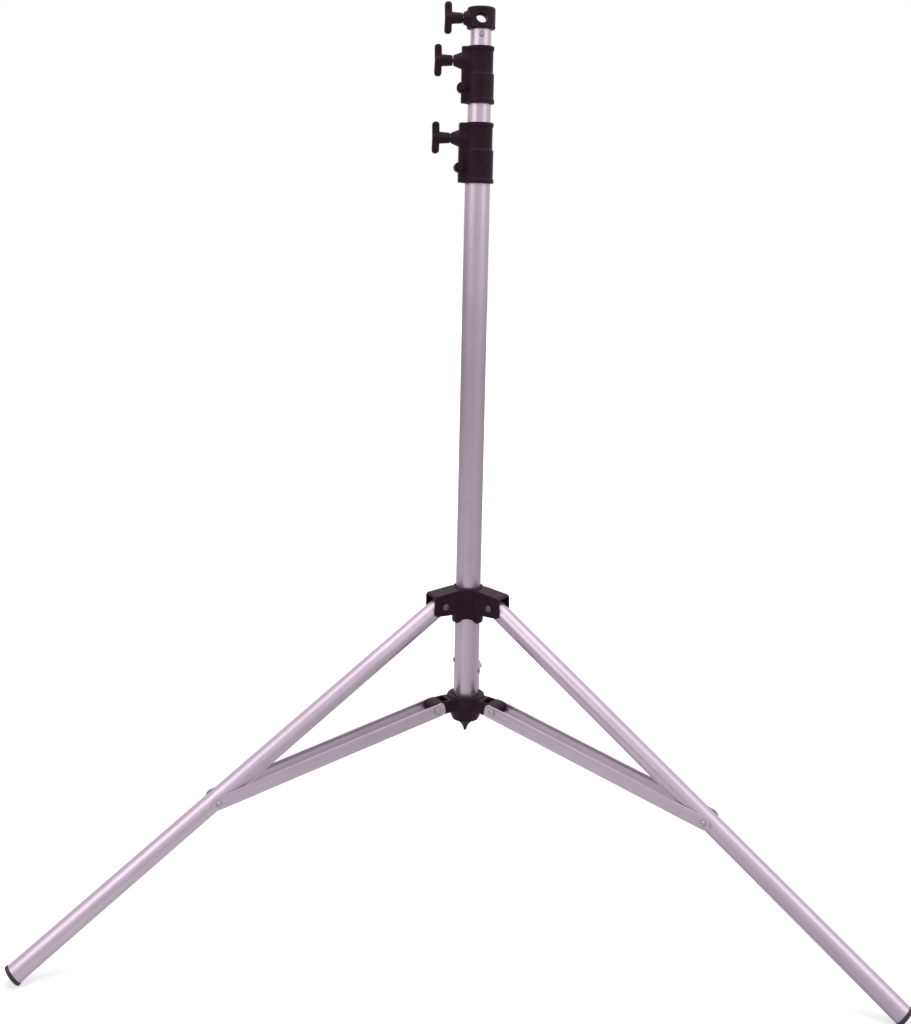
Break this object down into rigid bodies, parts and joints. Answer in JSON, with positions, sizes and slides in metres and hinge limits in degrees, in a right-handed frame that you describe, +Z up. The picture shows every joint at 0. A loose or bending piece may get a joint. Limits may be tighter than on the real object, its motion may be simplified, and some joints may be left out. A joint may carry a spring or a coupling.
{
  "type": "studio light stand",
  "caption": "Telescoping studio light stand: silver tubes, black clamp collars with T-knobs, a folding braced tripod and a spigot receiver on top.",
  "frame": {"origin": "on the floor, at the middle of the bounding box", "axes": "+Z up along the column; +Y towards the rear leg, away from the camera; -X is the way the T-knobs point"},
  "size_m": [1.0886, 0.9468, 1.2397],
  "materials": {
    "aluminium": "satin anodised tube and flat bar",
    "black_cast": "satin black coat on a casting",
    "black_plastic": "moulded, satin",
    "steel": "zinc-plated, satin",
    "black_steel": "blackened, satin",
    "nylon": "moulded, matt",
    "rubber": "moulded, matt"
  },
  "bodies": {
    "base": {"base_tube": "aluminium", "base_plug": "black_plastic", "spider": "black_cast", "riser_rest_plug": "nylon", "rest_rivet_left": "steel", "rest_rivet_right": "steel", "spider_pin_left": "steel", "spider_pin_right": "steel", "spider_pin_rear": "steel", "lower_collar": "black_cast", "lower_collar_bush": "nylon", "lower_clamp_bolt": "black_steel", "lower_clamp_nut": "black_steel"},
    "crown": {"crown": "black_cast", "crown_bush": "nylon", "crown_pin_left": "steel", "crown_pin_right": "steel", "crown_pin_rear": "steel"},
    "riser_1_guide": {"riser_1_guide_ring": "nylon"},
    "riser_1": {"riser_1_tube": "aluminium", "riser_1_end_plug": "nylon", "upper_collar": "black_cast", "upper_collar_bush": "nylon", "upper_clamp_bolt": "black_steel", "upper_clamp_nut": "black_steel"},
    "riser_2_guide": {"riser_2_guide_ring": "nylon"},
    "riser_2": {"riser_2_tube": "aluminium", "riser_2_end_plug": "nylon", "top_receiver": "black_cast", "receiver_rivet": "steel"},
    "leg_left": {"leg_tube_left": "aluminium", "leg_plug_left": "nylon", "foot_left": "rubber"},
    "brace_left": {"brace_bar_left_a": "aluminium", "brace_bar_left_b": "aluminium", "brace_screw_left_a": "steel", "brace_screw_left_b": "steel"},
    "leg_right": {"leg_tube_right": "aluminium", "leg_plug_right": "nylon", "foot_right": "rubber"},
    "brace_right": {"brace_bar_right_a": "aluminium", "brace_bar_right_b": "aluminium", "brace_screw_right_a": "steel", "brace_screw_right_b": "steel"},
    "leg_rear": {"leg_tube_rear": "aluminium", "leg_plug_rear": "nylon", "foot_rear": "rubber"},
    "brace_rear": {"brace_bar_rear_a": "aluminium", "brace_bar_rear_b": "aluminium", "brace_screw_rear_a": "steel", "brace_screw_rear_b": "steel"},
    "lower_pad": {"lower_pressure_pad": "nylon"},
    "lower_knob": {"lower_knob": "black_plastic", "lower_knob_stud": "steel"},
    "upper_pad": {"upper_pressure_pad": "nylon"},
    "upper_knob": {"upper_knob": "black_plastic", "upper_knob_stud": "steel"},
    "top_pad": {"top_pressure_pad": "nylon"},
    "top_knob": {"top_knob": "black_plastic", "top_knob_stud": "steel"}
  },
  "joints": [
    {"name": "riser_1_slide", "type": "slide", "parent": "base", "child": "riser_1_guide", "axis": [0, 0, 1], "range_m": [0, 0.675]},
    {"name": "riser_1_swivel", "type": "hinge", "parent": "riser_1_guide", "child": "riser_1", "pos_m": [0, -0.15215, 0.34281], "axis": [0, 0, 1], "continuous": true},
    {"name": "riser_2_slide", "type": "slide", "parent": "riser_1", "child": "riser_2_guide", "axis": [0, 0, 1], "range_m": [0, 0.745]},
    {"name": "riser_2_swivel", "type": "hinge", "parent": "riser_2_guide", "child": "riser_2", "pos_m": [0, -0.15215, 0.37791], "axis": [0, 0, 1], "continuous": true},
    {"name": "lower_pad_slide", "type": "slide", "parent": "base", "child": "lower_pad", "axis": [-0.9877, -0.1564, 0], "range_m": [0, 0.00155]},
    {"name": "lower_knob_turn", "type": "hinge", "parent": "lower_pad", "child": "lower_knob", "pos_m": [-0.03911, -0.15834, 1.05391], "axis": [-0.9877, -0.1564, 0], "range_deg": [0, 540]},
    {"name": "upper_pad_slide", "type": "slide", "parent": "riser_1", "child": "upper_pad", "axis": [-0.9986, -0.0523, 0], "range_m": [0, 0.00155]},
    {"name": "upper_knob_turn", "type": "hinge", "parent": "upper_pad", "child": "upper_knob", "pos_m": [-0.03805, -0.15414, 1.16021], "axis": [-0.9986, -0.0523, 0], "range_deg": [0, 540]},
    {"name": "top_pad_slide", "type": "slide", "parent": "riser_2", "child": "top_pad", "axis": [-0.9936, -0.1132, 0], "range_m": [0, 0.00155]},
    {"name": "top_knob_turn", "type": "hinge", "parent": "top_pad", "child": "top_knob", "pos_m": [-0.02524, -0.15502, 1.21771], "axis": [-0.9936, -0.1132, 0], "range_deg": [0, 540]},
    {"name": "crown_slide", "type": "slide", "parent": "base", "child": "crown", "axis": [0, 0, 1], "range_m": [0, 0.559]},
    {"name": "leg_left_fold", "type": "hinge", "parent": "crown", "child": "leg_left", "pos_m": [-0.03733, -0.1737, 0.40221], "axis": [0.5, -0.866, 0], "range_deg": [0, 48.78]},
    {"name": "brace_left_fold", "type": "hinge", "parent": "base", "child": "brace_left", "pos_m": [-0.04503, -0.17815, 0.25491], "axis": [-0.5, 0.866, 0], "range_deg": [0, 96.19]},
    {"name": "leg_right_fold", "type": "hinge", "parent": "crown", "child": "leg_right", "pos_m": [0.03733, -0.1737, 0.40221], "axis": [0.5, 0.866, 0], "range_deg": [0, 48.78]},
    {"name": "brace_right_fold", "type": "hinge", "parent": "base", "child": "brace_right", "pos_m": [0.04503, -0.17815, 0.25491], "axis": [-0.5, -0.866, 0], "range_deg": [0, 96.19]},
    {"name": "leg_rear_fold", "type": "hinge", "parent": "crown", "child": "leg_rear", "pos_m": [0, -0.10905, 0.40221], "axis": [-1, 0, 0], "range_deg": [0, 48.78]},
    {"name": "brace_rear_fold", "type": "hinge", "parent": "base", "child": "brace_rear", "pos_m": [0, -0.10015, 0.25491], "axis": [1, 0, 0], "range_deg": [0, 96.19]}
  ],
  "couplings": [
    {"joint": "lower_pad_slide", "follows": "lower_knob_turn", "m_per_rad": 0.00015915},
    {"joint": "upper_pad_slide", "follows": "upper_knob_turn", "m_per_rad": 0.00015915},
    {"joint": "top_pad_slide", "follows": "top_knob_turn", "m_per_rad": 0.00015915},
    {"joint": "leg_left_fold", "follows": "crown_slide", "rad_per_m": 1.523},
    {"joint": "brace_left_fold", "follows": "crown_slide", "rad_per_m": 3.003},
    {"joint": "leg_right_fold", "follows": "crown_slide", "rad_per_m": 1.523},
    {"joint": "brace_right_fold", "follows": "crown_slide", "rad_per_m": 3.003},
    {"joint": "leg_rear_fold", "follows": "crown_slide", "rad_per_m": 1.523},
    {"joint": "brace_rear_fold", "follows": "crown_slide", "rad_per_m": 3.003}
  ]
}
